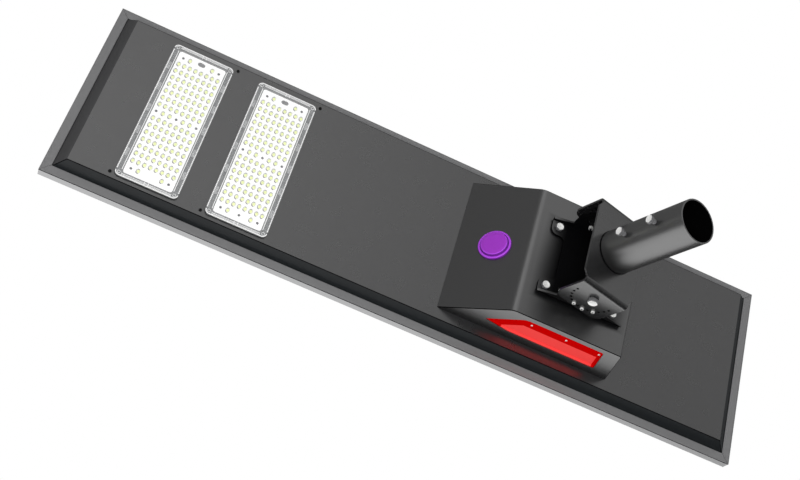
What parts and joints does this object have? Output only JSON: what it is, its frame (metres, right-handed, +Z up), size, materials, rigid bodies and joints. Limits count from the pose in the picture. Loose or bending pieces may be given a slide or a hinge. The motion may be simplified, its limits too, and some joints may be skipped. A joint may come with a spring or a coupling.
{
  "type": "solar street lamp",
  "caption": "All-in-one solar street lamp: a framed solar panel with light modules and a wedge battery box beneath, tilting on an indexed bracket over a pole sleeve.",
  "frame": {"origin": "centre of the lower mouth of the pole sleeve", "axes": "+Z up along the sleeve and the pole in it, +X out over the road toward the light modules, +Y to the left; the head rests tilted 18 degrees about Y with the lamp end up"},
  "size_m": [1.1918, 0.35, 0.6393],
  "materials": {
    "black_powder_coat": "fine black powder coat, satin",
    "grey_powder_coat": "charcoal powder coat, satin",
    "bright_zinc": "bright zinc plate",
    "anodised_aluminium": "silver anodised",
    "panel_glass": "tempered, low iron",
    "solar_cells": "laminated monocrystalline cells",
    "white_board": "white solder mask on aluminium",
    "grey_rubber": "silicone seal",
    "clear_lens": "clear moulded lens",
    "red_lacquer": "gloss red lacquer",
    "purple_lens": "translucent purple",
    "black_plastic": "moulded",
    "green_board": "solder mask",
    "battery_wrap": "heat-shrink wrap"
  },
  "bodies": {
    "pole_bracket": {"lock_bolt_left_1": "bright_zinc", "lock_bolt_left_2": "bright_zinc", "lock_bolt_left_3": "bright_zinc", "lock_bolt_right_1": "bright_zinc", "lock_bolt_right_2": "bright_zinc", "lock_bolt_right_3": "bright_zinc", "lock_nut_left_1": "bright_zinc", "lock_nut_left_2": "bright_zinc", "lock_nut_left_3": "bright_zinc", "lock_nut_right_1": "bright_zinc", "lock_nut_right_2": "bright_zinc", "lock_nut_right_3": "bright_zinc", "pivot_bolt_left": "bright_zinc", "pivot_bolt_right": "bright_zinc", "pivot_nut_left": "bright_zinc", "pivot_nut_right": "bright_zinc", "pole_sleeve": "black_powder_coat", "saddle_bracket": "black_powder_coat"},
    "lamp_head": {"back_tray": "grey_powder_coat", "backing_plate": "bright_zinc", "base_bolt_1": "bright_zinc", "base_bolt_2": "bright_zinc", "base_bolt_3": "bright_zinc", "base_bolt_4": "bright_zinc", "base_bracket": "black_powder_coat", "battery_box": "black_powder_coat", "battery_pack": "battery_wrap", "battery_strap": "bright_zinc", "cell_sheet": "solar_cells", "charge_controller": "anodised_aluminium", "corner_key_lamp_left": "anodised_aluminium", "corner_key_lamp_right": "anodised_aluminium", "corner_key_pole_left": "anodised_aluminium", "corner_key_pole_right": "anodised_aluminium", "frame_rail_lamp_end": "anodised_aluminium", "frame_rail_left": "anodised_aluminium", "frame_rail_pole_end": "anodised_aluminium", "frame_rail_right": "anodised_aluminium", "junction_box": "black_plastic", "led_board_inner": "white_board", "led_board_outer": "white_board", "led_lens_inner": "clear_lens", "led_lens_outer": "clear_lens", "led_seal_inner": "grey_rubber", "led_seal_outer": "grey_rubber", "panel_glass": "panel_glass", "sensor_board": "green_board", "sensor_lens": "purple_lens", "sensor_nut": "black_plastic", "side_window_left": "red_lacquer", "side_window_right": "red_lacquer"},
    "set_screw_lower": {"set_screw_lower": "bright_zinc"},
    "set_screw_upper": {"set_screw_upper": "bright_zinc"}
  },
  "joints": [
    {"name": "head_tilt", "type": "hinge", "parent": "pole_bracket", "child": "lamp_head", "pos_m": [0, 0, 0.201], "axis": [0, 1, 0], "range_deg": [-27, 33]},
    {"name": "set_screw_lower_travel", "type": "slide", "parent": "pole_bracket", "child": "set_screw_lower", "axis": [-0.9903, 0.1392, 0], "range_m": [0, 0.005]},
    {"name": "set_screw_upper_travel", "type": "slide", "parent": "pole_bracket", "child": "set_screw_upper", "axis": [-0.9903, 0.1392, 0], "range_m": [0, 0.005]}
  ]
}
